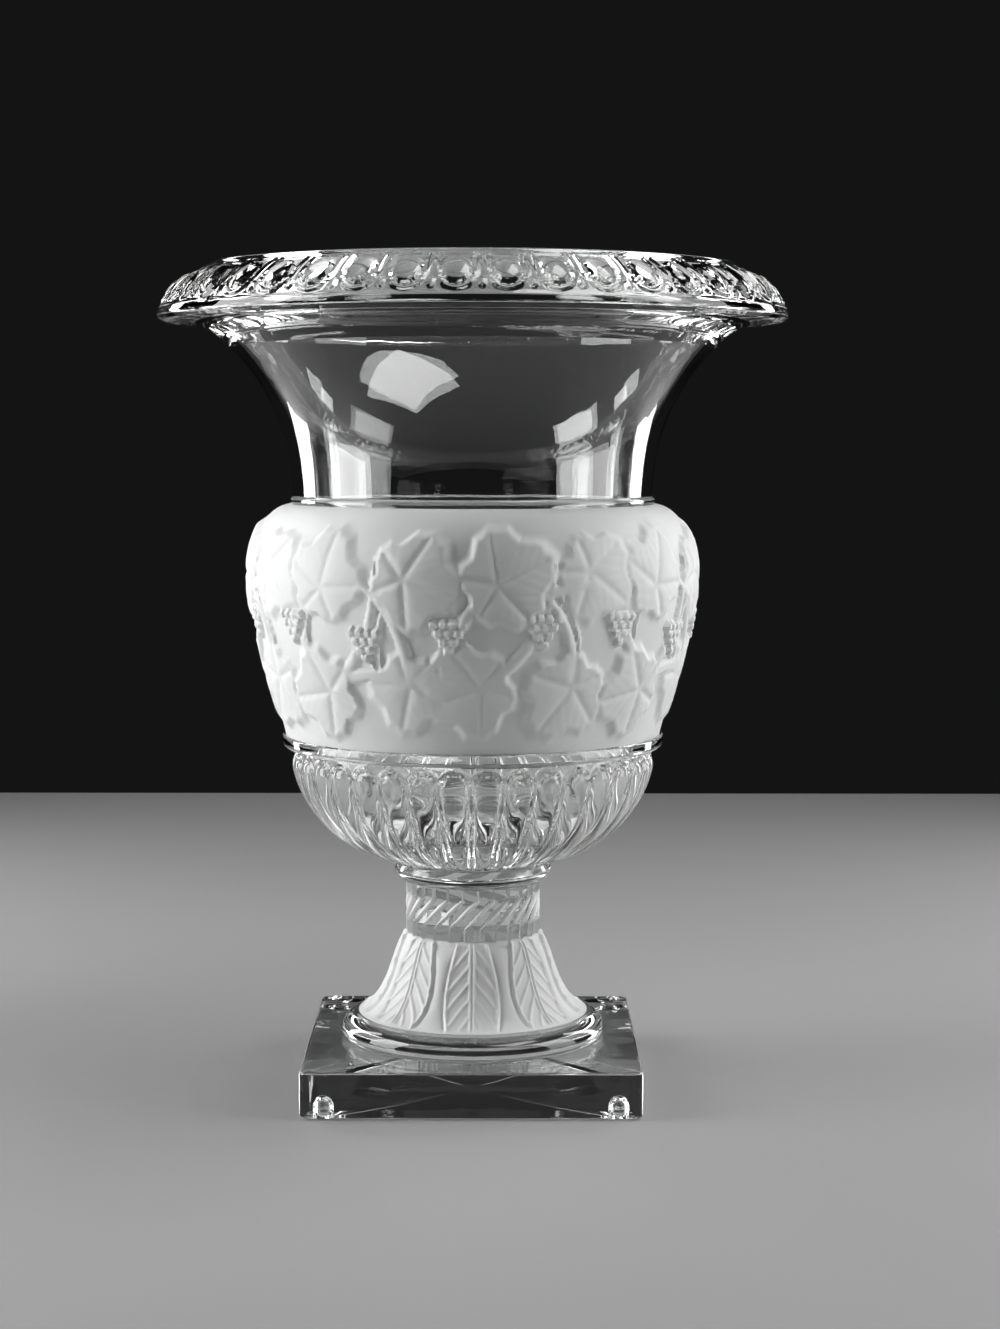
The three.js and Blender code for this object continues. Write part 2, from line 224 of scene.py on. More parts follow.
class Shell:
    """Gathers bands of points and the faces between them into one closed mesh."""

    def __init__(self):
        self.points = []
        self.faces = []
        self.slots = []
        self.count = 0

    def band(self, grid, slot):
        """Adds a grid of points that closes on itself along its columns, and the quads between its rows."""
        rows, columns = grid.shape[:2]
        index = self.count + np.arange(rows * columns).reshape(rows, columns)
        self.points.append(grid.reshape(-1, 3))
        self.count += rows * columns
        self.join(index, slot)
        return index

    def circle(self, radius, level, columns, slot):
        """Adds one level ring of points about Z."""
        return self.band(ring_points(points((radius, level)), columns), slot)[0]

    def join(self, index, slot):
        """Quads between the rows of an index grid. slot is one number, or one for each quad."""
        right = np.roll(index, -1, 1)
        quads = np.stack([index[:-1], right[:-1], right[1:], index[1:]], 2).reshape(-1, 4)
        self.faces.append(quads)
        self.slots.append(np.broadcast_to(slot, (len(index) - 1, index.shape[1])).ravel())

    def stitch(self, lower, upper, slot):
        """Joins two rings of points, where the larger count is a whole multiple of the smaller: each side
        of the fine ring goes to the nearest point of the coarse ring, and each side of the coarse ring to
        the fine point beside its middle."""
        if len(lower) == len(upper):
            self.join(np.stack([lower, upper]), slot)
            return
        fine, coarse = (lower, upper) if len(lower) > len(upper) else (upper, lower)
        share = len(fine) // len(coarse)
        step = np.arange(len(fine))
        middle = (step % share) >= share // 2
        near = coarse[(step // share + middle) % len(coarse)]
        fans = np.stack([fine, np.roll(fine, -1), near], 1)
        at = np.arange(len(coarse))
        turn = fine[(at * share + share // 2) % len(fine)]
        fills = np.stack([coarse, turn, np.roll(coarse, -1)], 1)
        triangles = np.concatenate([fans, fills])
        if fine is upper:
            triangles = triangles[:, ::-1]
        self.faces.append(triangles)
        self.slots.append(np.full(len(triangles), slot))

    def pole(self, ring, level, slot, above):
        """Closes a ring with a fan to a point on the axis, facing up, or down where above is false."""
        self.points.append(np.array([[0.0, 0.0, level]]))
        centre = self.count
        self.count += 1
        fan = np.stack([ring, np.roll(ring, -1), np.full(len(ring), centre)], 1)
        if not above:
            fan = fan[:, ::-1]
        self.faces.append(fan)
        self.slots.append(np.full(len(fan), slot))

    def mesh(self, name, place=(0, 0, 0)):
        """The mesh in metres, moved to its place, with smooth faces and with sharp edges where faces turn
        by more than the sharp angle."""
        mesh = bpy.data.meshes.new(name)
        faces = [face for group in self.faces for face in group.tolist()]
        mesh.from_pydata(((np.concatenate(self.points) + place) * MM).tolist(), [], faces)
        mesh.polygons.foreach_set("material_index", np.concatenate(self.slots).astype(np.int32))
        mesh.polygons.foreach_set("use_smooth", np.ones(len(faces), bool))
        mesh.update()
        mesh.set_sharp_from_angle(angle=math.radians(SHARP_ANGLE))
        return mesh


def piece(name, shell, materials, slot, *nodes):
    """Makes a piece of a shell or a mesh, gives it its materials and stands it in for its nodes."""
    mesh = shell.mesh(name) if isinstance(shell, Shell) else shell
    made = bpy.data.objects.new(name, mesh)
    bpy.context.scene.collection.objects.link(made)
    for material in materials:
        mesh.materials.append(material)
    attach(made, "root")
    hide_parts(*nodes)
    return made


# Materials


def surface(name, sockets):
    """A material with one Principled shader, whose sockets get these values: the material, its node tree
    and the shader."""
    material = bpy.data.materials.new(name)
    material.use_nodes = True
    tree = material.node_tree
    tree.nodes.clear()
    out = tree.nodes.new("ShaderNodeOutputMaterial")
    shader = tree.nodes.new("ShaderNodeBsdfPrincipled")
    for socket, value in sockets.items():
        shader.inputs[socket].default_value = value
    tree.links.new(shader.outputs["BSDF"], out.inputs["Surface"])
    return material, tree, shader


def noise(tree, scale, detail=2.0):
    """Noise on the object's own coordinates, scale in repeats a metre."""
    place = tree.nodes.new("ShaderNodeTexCoord")
    texture = tree.nodes.new("ShaderNodeTexNoise")
    texture.inputs["Scale"].default_value = scale
    texture.inputs["Detail"].default_value = detail
    tree.links.new(place.outputs["Object"], texture.inputs["Vector"])
    return texture.outputs["Fac"]


def bump(tree, height, strength, distance):
    """A normal tilted by the slope of a height, whose full range is distance metres."""
    node = tree.nodes.new("ShaderNodeBump")
    node.inputs["Strength"].default_value = strength
    node.inputs["Distance"].default_value = distance
    tree.links.new(height, node.inputs["Height"])
    return node.outputs["Normal"]


def mapped(tree, value, low, high):
    """A value from 0 to 1 stretched to run from low to high."""
    node = tree.nodes.new("ShaderNodeMapRange")
    node.inputs["To Min"].default_value = low
    node.inputs["To Max"].default_value = high
    tree.links.new(value, node.inputs["Value"])
    return node.outputs["Result"]


GLASS_IOR = 1.52
PAD_IOR = 1.45
CLEAR_TINT = (0.98, 0.99, 0.985, 1)
FROSTED_TINT = (0.95, 0.955, 0.955, 1)
PLASTIC_TINT = (0.9, 0.92, 0.92, 1)

# Repeats a metre of each finish's fine structure
PRESSING_WAVES = 60.0
ETCHED_PATCHES = 900.0
ETCHED_GRAIN = 2500.0
BOND_CLOUDS = 300.0
PAD_CLOUDS = 800.0


def clear_glass():
    """Fire-polished glass: clear, with the faint waviness that pressing leaves."""
    material, tree, shader = surface("clear_glass", {
        "Base Color": CLEAR_TINT,
        "Transmission Weight": 1.0,
        "IOR": GLASS_IOR,
        "Roughness": 0.0,
    })
    tree.links.new(bump(tree, noise(tree, PRESSING_WAVES), 0.12, 0.0006), shader.inputs["Normal"])
    return material


def frosted_glass(name, passing):
    """Acid-etched glass: a white satin skin that scatters light both ways, finely grained. passing is
    the share of the light that goes through it."""
    material, tree, shader = surface(name, {
        "Base Color": FROSTED_TINT,
        "Transmission Weight": passing,
        "IOR": GLASS_IOR,
    })
    tree.links.new(mapped(tree, noise(tree, ETCHED_PATCHES), 0.5, 0.62), shader.inputs["Roughness"])
    tree.links.new(bump(tree, noise(tree, ETCHED_GRAIN, 4.0), 0.25, 0.0002), shader.inputs["Normal"])
    return material


def seam_glass():
    """Where two sections are one glass: light goes straight through."""
    return surface("seam_glass", {"Alpha": 0.0})[0]


def bond_film():
    """Clear cured adhesive, all but invisible between two glass faces, with a faint cloudiness."""
    material, tree, shader = surface("bond_film", {"Base Color": PLASTIC_TINT, "Roughness": 0.2})
    tree.links.new(mapped(tree, noise(tree, BOND_CLOUDS), 0.01, 0.04), shader.inputs["Alpha"])
    return material


def pad_plastic():
    """Clear soft plastic of the pads, a little cloudy."""
    material, tree, shader = surface("pad_plastic", {
        "Base Color": PLASTIC_TINT,
        "Transmission Weight": 0.9,
        "IOR": PAD_IOR,
    })
    tree.links.new(mapped(tree, noise(tree, PAD_CLOUDS), 0.08, 0.16), shader.inputs["Roughness"])
    return material


CLEAR = clear_glass()
FROSTED = frosted_glass("frosted_glass", 0.35)
STRAND = frosted_glass("frosted_strand", 0.05)
SEAM = seam_glass()
BOND = bond_film()
SKINS = (CLEAR, FROSTED, SEAM)
STEM_SKINS = (CLEAR, STRAND, SEAM)
PAD = pad_plastic()
CLEAR_SLOT, FROSTED_SLOT, SEAM_SLOT = range(3)


# The hollow inside the vessel


def hollow_outline():
    """The inner wall from the floor's edge up to the mouth, as in the solids: a quarter of an ellipse in
    the bowl, Bezier curves out to the belly, in to the waist and out to the throat, and a straight lip.
    The curves' handles stand at shares of the heights between."""
    rise = BELLY_LEVEL - RING_BASE
    fall = NECK_BASE - BELLY_LEVEL
    return np.concatenate([
        quarter_ellipse((FLOOR_RADIUS, RING_BASE), HOLLOW_SHOULDER_RADIUS - FLOOR_RADIUS,
                        RING_BASE - FLOOR_LEVEL, FLOOR_RADIUS, 40)[:-1],
        bend((HOLLOW_SHOULDER_RADIUS, RING_BASE), (HOLLOW_SHOULDER_RADIUS, RING_BASE + rise * 0.35),
             (HOLLOW_BELLY_RADIUS, BELLY_LEVEL - rise * 0.4), (HOLLOW_BELLY_RADIUS, BELLY_LEVEL), 40)[:-1],
        bend((HOLLOW_BELLY_RADIUS, BELLY_LEVEL), (HOLLOW_BELLY_RADIUS, BELLY_LEVEL + fall * 0.5),
             (HOLLOW_WAIST_RADIUS, NECK_BASE - fall * 0.2), (HOLLOW_WAIST_RADIUS, NECK_BASE), 30)[:-1],
        bend((HOLLOW_WAIST_RADIUS, NECK_BASE), (HOLLOW_WAIST_RADIUS, NECK_BASE + NECK_HEIGHT * 0.55),
             (HOLLOW_THROAT_RADIUS - HOLLOW_THROAT_HANDLE, RIM_BASE - HOLLOW_THROAT_HANDLE),
             (HOLLOW_THROAT_RADIUS, RIM_BASE), 40),
        points((HOLLOW_MOUTH_RADIUS, RIM_TOP)),
    ])


HOLLOW = hollow_outline()


def hollow_part(low, high):
    """The inner wall between two levels, from the top down, with points at both levels."""
    inside = HOLLOW[(HOLLOW[:, 1] > low + LEAST_STEP) & (HOLLOW[:, 1] < high - LEAST_STEP)]
    ends = [(np.interp(level, HOLLOW[:, 1], HOLLOW[:, 0]), level) for level in (low, high)]
    return np.concatenate([[ends[0]], inside, [ends[1]]])[::-1]


def seam_rings(shell, outer, outside, columns, slot, seams):
    """The lower and upper rings at which a skin meets its neighbours: its own first and last rings, or,
    where a seam is narrower, a ring of the seam's radius with a level face from it out to the skin."""
    low, high = outer[0], outer[-1]
    if seams[1] < outside[-1, 0] - LEAST_STEP:
        edge = shell.circle(seams[1], outside[-1, 1], columns, slot)
        shell.stitch(high, edge, slot)
        high = edge
    if seams[0] < outside[0, 0] - LEAST_STEP:
        edge = shell.circle(seams[0], outside[0, 1], columns, slot)
        shell.stitch(edge, low, slot)
        low = edge
    return low, high


def ring_section(outside, columns, inner_columns, outer_slot, seams, relief=None):
    """A closed ring of glass: an outer skin from the bottom up, the upper seam, the inner wall and the
    lower seam. seams are the radii to which the lower and upper faces are joined to their neighbours."""
    shell = Shell()
    outer = shell.band(ring_points(outside, columns, relief), outer_slot)
    inner_line = hollow_part(outside[0, 1], outside[-1, 1])
    inner = shell.band(ring_points(inner_line, inner_columns), CLEAR_SLOT)
    low, high = seam_rings(shell, outer, outside, columns, outer_slot, seams)
    shell.stitch(high, inner[0], SEAM_SLOT)
    shell.stitch(inner[-1], low, SEAM_SLOT)
    return shell


def solid_section(outside, columns, outer_slot, seams, relief=None, twist=0.0):
    """A solid turned piece: its outer skin and two level faces, joined to their neighbours up to the
    radii in seams."""
    shell = Shell()
    outer = shell.band(ring_points(outside, columns, relief, twist), outer_slot)
    low, high = seam_rings(shell, outer, outside, columns, outer_slot, seams)
    shell.pole(high, outside[-1, 1], SEAM_SLOT, True)
    shell.pole(low, outside[0, 1], SEAM_SLOT, False)
    return shell


# Reliefs, in millimetres over the turned surface


def smooth(low, high, value):
    """Smoothstep from 0 at low to 1 at high."""
    t = np.clip((value - low) / (high - low), 0, 1)
    return t * t * (3 - 2 * t)


def dome(distance):
    """Half a sphere: one in the middle and nothing from a distance of one on."""
    return np.sqrt(np.clip(1 - distance**2, 0, 1))


def ridge(distance, width):
    """A soft line of this half width, one high, as a bell curve."""
    return np.exp(-((distance / width) ** 2))


def to_nearest(value, spacing):
    """Distance from the nearest whole multiple of a spacing."""
    return value - np.round(value / spacing) * spacing


def repeat_offset(angle, count, shift=0.0):
    """Angle from the middle of the nearest of count even repeats, which are moved round by shift of
    their spacing."""
    spacing = 2 * math.pi / count
    return angle - (np.round(angle / spacing - shift) + shift) * spacing


def grid_of(outline, columns):
    """Angle of each column, and the radius and level of each row."""
    angle = np.arange(columns)[None, :] * (2 * math.pi / columns)
    return angle, outline[:, :1], outline[:, 1:]


FLUTE_COUNT = 36
FLUTE_SHIFT = 0.5
FLUTE_DEPTH = 1.9
FLUTE_SINK = 0.9
FLUTE_LOBE = 0.8
FLUTE_HEAD_GAP = 2.2
FLUTE_BORDER = 0.85
FLUTE_BORDER_PLACE = 0.94
FLUTE_BORDER_WIDTH = 0.45
FLUTE_FOOT_FADE = 1.5
FLUTE_HEAD_FADE = 0.5


def flute_relief(outline, columns):
    """Upright lobes with round heads: a dome across each lobe and round its head, with a raised line
    outside it that arches over the head."""
    angle, radius, level = grid_of(outline, columns)
    across = repeat_offset(angle, FLUTE_COUNT, FLUTE_SHIFT)
    half = math.pi / FLUTE_COUNT * radius
    head_centre = RING_BASE - FLUTE_HEAD_GAP - math.pi / FLUTE_COUNT * BOWL_RADIUS
    over = np.maximum(0, level - head_centre)
    distance = np.hypot(across * radius, over) / half
    lobe = dome(distance / FLUTE_LOBE)
    border = ridge((distance - FLUTE_BORDER_PLACE) * half, FLUTE_BORDER_WIDTH)
    foot = smooth(BOWL_BASE, BOWL_BASE + FLUTE_FOOT_FADE, level)
    head = smooth(RING_BASE, RING_BASE - FLUTE_HEAD_FADE, level)
    return (FLUTE_DEPTH * (lobe - FLUTE_SINK) + FLUTE_BORDER * border) * foot * head


# Half sizes are in millimetres, the egg's width on a radius of EGG_RADIUS
EGG_COUNT = 42
EGG_SHIFT = 0.25
EGG_RADIUS = 98.0
EGG_HALF_WIDTH = 5.5
EGG_HALF_LENGTH = 8.6
EGG_MIDDLE = 0.53
EGG_DOME = 0.82
EGG_HEIGHT = 1.7
EGG_SINK = 0.7
EGG_BAND_HEIGHT = 0.75
EGG_BAND_PLACE = 1.03
EGG_BAND_WIDTH = 0.11
DROP_HEIGHT = 0.7
DROP_BELOW = 6.4
DROP_HALF_WIDTH = 1.1
DROP_HALF_LENGTH = 2.6
EGG_FOOT_FADE = 2.4
EGG_HEAD_FADE = 2.0


def egg_relief(outline, columns, first, last):
    """A row of eggs between two rows of the outline: a dome on an oval, a groove round it, a raised band
    round its sides and foot whose arms run straight up, and a drop between neighbours."""
    angle, radius, _ = grid_of(outline, columns)
    length = lengths_along(outline)[:, None]
    low, high = length[first], length[last]
    x = repeat_offset(angle, EGG_COUNT, EGG_SHIFT) * radius
    y = length - (low + (high - low) * EGG_MIDDLE)
    wide = EGG_HALF_WIDTH * radius / EGG_RADIUS
    oval = np.hypot(x / wide, y / EGG_HALF_LENGTH)
    egg = EGG_HEIGHT * dome(oval / EGG_DOME)
    arms = np.where(y > 0, np.abs(x) / wide, oval)
    band = EGG_BAND_HEIGHT * ridge(arms - EGG_BAND_PLACE, EGG_BAND_WIDTH)
    between = math.pi / EGG_COUNT * radius - np.abs(x)
    drop = DROP_HEIGHT * dome(np.hypot(between / DROP_HALF_WIDTH, (y + DROP_BELOW) / DROP_HALF_LENGTH))
    foot = smooth(low, low + EGG_FOOT_FADE, length)
    head = smooth(high, high - EGG_HEAD_FADE, length)
    return (np.maximum(np.maximum(egg, band), drop) - EGG_SINK) * foot * head


# One repeat of the vine. Leaves: share across, share up, size in millimetres, turn of the tip in degrees.
# Bunches: share across, share up.
VINE_REPEATS = 4
VINE_SHIFT = 0.04
VINE_FADE = 2.6
LEAVES = (
    (0.11, 0.70, 24, 25),
    (0.37, 0.75, 22, -35),
    (0.61, 0.68, 22.5, 75),
    (0.86, 0.72, 23, -15),
    (0.07, 0.28, 22.5, 200),
    (0.34, 0.28, 22, 235),
    (0.60, 0.25, 22, 190),
    (0.87, 0.30, 20, 255),
)
# The leaves take these thicknesses in turn
LEAF_THICKNESS = (1.15, 0.85, 1.0)
CLUSTERS = (
    (0.24, 0.52),
    (0.48, 0.52),
    (0.74, 0.46),
    (0.98, 0.50),
)
# Slanting branches: share across and up of the root, then how far they reach in the same shares
BRANCHES = (
    (0.07, 0.28, 0.20, 0.50),
    (0.34, 0.28, -0.19, 0.48),
    (0.60, 0.25, 0.18, 0.54),
    (0.87, 0.30, -0.19, 0.46),
)
BRANCH_HEIGHT = 1.3
BRANCH_WIDTH = 2.6

# The waving branch: shares of the frieze's height, then height and width in millimetres
WAVE_MIDDLE = 0.5
WAVE = 0.22
RIPPLE = 0.05
RIPPLES_A_WAVE = 3
WAVE_BRANCH_HEIGHT = 1.6
WAVE_BRANCH_WIDTH = 2.2
BARK_GROOVE = 0.3
BARK_GROOVE_WIDTH = 0.5

# Twigs: share across to the root on the waving branch, and width at the leaf or bunch
LEAF_TWIG = (-0.07, 1.4)
CLUSTER_TWIG = (0.05, 1.0)
TWIG_HEIGHT = 1.15
TWIG_BOW = 0.14
TWIG_TAPER = 0.65

# Leaves: the edge's radius is a share of the size between the lobes and at them, and to the sides and at
# the tip, and heights and widths are in millimetres
LOBES = 5
LOBE_NOTCH = 0.76
LOBE_REACH = 0.24
LEAF_SIDE = 0.78
LEAF_TIP = 0.22
LEAF_FACE = 0.8
LEAF_PUFF = 0.9
LOBE_PUFF = 0.25
LEAF_BORDER = 0.2
LEAF_BORDER_PLACE = 0.82
LEAF_BORDER_WIDTH = 0.1
LOBE_VEIN_GROOVE = 0.42
LOBE_VEIN_WIDTH = 0.9
SIDE_VEIN_GROOVE = 0.1
SIDE_VEIN_WIDTH = 0.5
SIDE_VEIN_SPACING = 4.2
SCALLOPS = 20
SCALLOP = 0.022

BERRY_ROWS = 4
BERRY_RADIUS = 1.75
BERRY_SPACING = 3.15
BERRY_HEIGHT = 2.3
BERRY_DIMPLE = 0.6
BERRY_DIMPLE_WIDTH = 0.5
CLUSTER_MIDDLE_ROW = 1.2
CLUSTER_ROW_STEP = 0.87
CLUSTER_CLEARING = (4, 7)


def leaf_lift(x, y, size, tip):
    """A leaf with five round lobes: its edge is a circle drawn in between the lobes, its face is puffed
    up, and a groove runs down each lobe with side grooves off it."""
    way = np.arctan2(y, x) - math.radians(tip)
    reach = np.hypot(x, y)
    scallop = 1 + SCALLOP * np.cos(SCALLOPS * way)
    lobes = LOBE_NOTCH + LOBE_REACH * np.abs(np.cos(LOBES / 2 * way)) ** 0.8
    edge = size * lobes * (LEAF_SIDE + LEAF_TIP * np.cos(way)) * scallop
    inward = reach / edge
    off = to_nearest(way, 2 * math.pi / LOBES)
    along = reach * np.cos(off)
    aside = reach * np.abs(np.sin(off))
    side = ridge(to_nearest(along - aside, SIDE_VEIN_SPACING), SIDE_VEIN_WIDTH) * smooth(1.5, 3, along)
    body = smooth(1.0, 0.76, inward)
    between = np.abs(np.sin(LOBES * off / 2)) * smooth(0.1, 0.5, inward)
    puff = LEAF_PUFF * dome(inward) + LOBE_PUFF * between
    face = LEAF_FACE + puff + LEAF_BORDER * ridge(inward - LEAF_BORDER_PLACE, LEAF_BORDER_WIDTH)
    groove = LOBE_VEIN_GROOVE * ridge(aside, LOBE_VEIN_WIDTH) * smooth(0.92, 0.7, inward)
    return body * (face - groove - SIDE_VEIN_GROOVE * side)


def cluster_lift(x, y):
    """Berries packed in rows of four, three, two and one, each a dome with a dimple."""
    lift = 0
    for row in range(BERRY_ROWS):
        below = y + (row - CLUSTER_MIDDLE_ROW) * BERRY_SPACING * CLUSTER_ROW_STEP
        for place in range(BERRY_ROWS - row):
            aside = x - (place - (BERRY_ROWS - 1 - row) / 2) * BERRY_SPACING
            far = np.hypot(aside, below)
            berry = BERRY_HEIGHT * dome(far / BERRY_RADIUS) - BERRY_DIMPLE * ridge(far, BERRY_DIMPLE_WIDTH)
            lift = np.maximum(lift, berry)
    return lift


def twig_lift(x, y, reach_x, reach_y, width):
    """A round ridge that tapers along a bowed line from the middle to a point."""
    length = reach_x**2 + reach_y**2
    share = np.clip((x * reach_x + y * reach_y) / length, 0, 1)
    bow = np.sin(math.pi * share) * TWIG_BOW
    off = np.hypot(x - share * reach_x - bow * reach_y, y - share * reach_y + bow * reach_x)
    return TWIG_HEIGHT * dome(off / (width * (1 - TWIG_TAPER * share)))


def vine_relief(outline, columns):
    """The vine: a waving branch, slanting branches, a twig to each leaf and bunch, the leaves and the
    berries. The highest of them shows, and the ground is cleared round each bunch."""
    angle, radius, level = grid_of(outline, columns)
    up = level - FRIEZE_BASE
    repeat = 2 * math.pi / VINE_REPEATS
    turns = angle / repeat + VINE_SHIFT
    width = repeat * radius

    def place(share, rise):
        """Distances across and up from a point of the nearest repeat."""
        return to_nearest(turns - share, 1) * width, up - rise * FRIEZE_HEIGHT

    def branch_level(share):
        wave = WAVE * np.sin(2 * math.pi * share)
        ripple = RIPPLE * np.sin(2 * math.pi * RIPPLES_A_WAVE * share)
        return FRIEZE_HEIGHT * (WAVE_MIDDLE + wave + ripple)

    def twig(share, rise, step, thickness):
        climb = branch_level(share + step) - rise * FRIEZE_HEIGHT
        return twig_lift(*place(share, rise), step * width, climb, thickness)

    wave_slope = WAVE * np.cos(2 * math.pi * turns)
    ripple_slope = RIPPLES_A_WAVE * RIPPLE * np.cos(2 * math.pi * RIPPLES_A_WAVE * turns)
    slope = FRIEZE_HEIGHT * 2 * math.pi * (wave_slope + ripple_slope)
    off = np.abs(up - branch_level(turns)) / np.hypot(1, slope / width)
    lift = WAVE_BRANCH_HEIGHT * dome(off / WAVE_BRANCH_WIDTH) - BARK_GROOVE * ridge(off, BARK_GROOVE_WIDTH)
    for share, rise, reach, climb in BRANCHES:
        branch = twig_lift(*place(share, rise), reach * width, climb * FRIEZE_HEIGHT, BRANCH_WIDTH)
        lift = np.maximum(lift, BRANCH_HEIGHT * branch)
    for number, (share, rise, size, tip) in enumerate(LEAVES):
        lift = np.maximum(lift, twig(share, rise, *LEAF_TWIG))
        thickness = LEAF_THICKNESS[number % len(LEAF_THICKNESS)]
        lift = np.maximum(lift, thickness * leaf_lift(*place(share, rise), size, tip))
    for share, rise in CLUSTERS:
        lift = np.maximum(lift, twig(share, rise, *CLUSTER_TWIG))
        x, y = place(share, rise)
        far = np.hypot(x, y)
        bunch = np.maximum(lift * smooth(*CLUSTER_CLEARING, far), cluster_lift(x, y))
        lift = np.where(far < CLUSTER_CLEARING[1], bunch, lift)
    return lift * smooth(0, VINE_FADE, up) * smooth(0, VINE_FADE, FRIEZE_HEIGHT - up)


# Distances are in millimetres, and BELL_FADE is a share of the bell's height
BELL_LEAVES = 8
BELL_LEAF_HEIGHT = 0.6
BELL_LEAF_EDGE = 0.9
BELL_BORDER_HEIGHT = 0.5
BELL_BORDER_INSET = 1.1
BELL_BORDER_WIDTH = 0.5
BELL_MIDRIB_HEIGHT = 0.5
BELL_MIDRIB_ASIDE = 0.75
BELL_MIDRIB_WIDTH = 0.38
BELL_VEIN_HEIGHT = 0.45
BELL_VEIN_LEAN = 1.15
BELL_VEIN_SPACING = 5.4
BELL_VEIN_WIDTH = 0.75
NARROW_LEAF_HEIGHT = 0.75
NARROW_LEAF_GAP = 0.3
NARROW_LEAF_LEAST = 0.5
BELL_SINK = 0.65
BELL_FADE = 0.05


def bell_relief(outline, columns):
    """Eight upright leaves: each has a raised border, a double midrib and side veins that run down and
    out from it, with a narrow leaf between neighbours."""
    angle, radius, level = grid_of(outline, columns)
    share = (level - BELL_BASE) / (STEM_BASE - BELL_BASE)
    x = np.abs(repeat_offset(angle, BELL_LEAVES)) * radius
    gap = math.pi / BELL_LEAVES * radius
    half = gap * (0.6 + 0.22 * np.sin(math.pi * np.clip(share, 0, 1) ** 0.8))
    body = smooth(half, half - BELL_LEAF_EDGE, x)
    border = ridge(x - half + BELL_BORDER_INSET, BELL_BORDER_WIDTH)
    midrib = ridge(x - BELL_MIDRIB_ASIDE, BELL_MIDRIB_WIDTH)
    slanted = to_nearest(level - BELL_BASE + BELL_VEIN_LEAN * x, BELL_VEIN_SPACING)
    veins = ridge(slanted, BELL_VEIN_WIDTH) * body * smooth(0.6, 1.6, x)
    leaf = BELL_LEAF_HEIGHT * body + BELL_BORDER_HEIGHT * border
    leaf = leaf + BELL_MIDRIB_HEIGHT * midrib + BELL_VEIN_HEIGHT * veins
    narrow_half = np.maximum(gap - half - NARROW_LEAF_GAP, NARROW_LEAF_LEAST)
    narrow = NARROW_LEAF_HEIGHT * dome((gap - x) / narrow_half) * smooth(0.95, 0.7, share)
    relief = np.maximum(leaf, narrow) - BELL_SINK
    return relief * smooth(0, BELL_FADE, share) * smooth(1, 1 - BELL_FADE, share)


ROPE_STRANDS = 26
ROPE_BASE = STEM_BASE + 4.5
ROPE_HEIGHT = 10.0
ROPE_RELIEF = 1.8
ROPE_WIDTH = 0.72
ROPE_EDGE = 0.4


def rope_relief(outline, columns):
    """Leaning strands, each a drop with a round top that narrows to a point at its foot: at a share u of
    its height it is as wide as u to the 0.6 times the root of 1 less u to the 6."""
    angle, _, level = grid_of(outline, columns)
    up = np.clip((level - ROPE_BASE) / ROPE_HEIGHT, 0.001, 0.999)
    half = ROPE_WIDTH * up**0.6 * np.sqrt(1 - up**6)
    return ROPE_RELIEF * dome(repeat_offset(angle, ROPE_STRANDS) / (math.pi / ROPE_STRANDS) / half)


# The pieces


def fluted_bowl():
    """A cup: a quarter of an ellipse turned outside with its flutes, the hollow inside, and a level seat
    under it."""
    wall = quarter_ellipse((BOWL_HAUNCH_RADIUS, RING_BASE), BOWL_RADIUS - BOWL_HAUNCH_RADIUS,
                           RING_BASE - BOWL_BASE, BOWL_SEAT_RADIUS, 200)
    wall[0, 1] = BOWL_BASE
    outside = evenly(wall, 0.8)
    columns = FLUTE_COUNT * REPEAT_COLUMNS
    shell = Shell()
    outer = shell.band(ring_points(outside, columns, flute_relief(outside, columns)), CLEAR_SLOT)
    inside = ring_points(hollow_part(FLOOR_LEVEL, RING_BASE), columns // HOLLOW_SHARE)
    inner = shell.band(inside, CLEAR_SLOT)
    shell.stitch(outer[-1], inner[0], SEAM_SLOT)
    shell.pole(inner[-1], FLOOR_LEVEL, CLEAR_SLOT, True)
    edge = shell.circle(STEM_BOND_RADIUS, BOWL_BASE, columns, CLEAR_SLOT)
    shell.stitch(edge, outer[0], CLEAR_SLOT)
    shell.pole(edge, BOWL_BASE, SEAM_SLOT, False)
    return piece("fluted_bowl_glass", shell, SKINS, "clear_glass", "fluted_bowl")


def bowl_ring():
    """A plain upright band with eased edges, turned about Z."""
    line = points((RING_RADIUS - 1.1, RING_BASE), (RING_RADIUS, RING_BASE + 1.0),
                  (RING_RADIUS, FRIEZE_BASE - 0.5), (RING_RADIUS - 0.5, FRIEZE_BASE))
    shell = ring_section(rounded(line, 0.5), 240, 240, CLEAR_SLOT, (BOWL_RADIUS, FRIEZE_FOOT_RADIUS))
    return piece("bowl_ring_glass", shell, SKINS, "clear_glass", "bowl_ring")


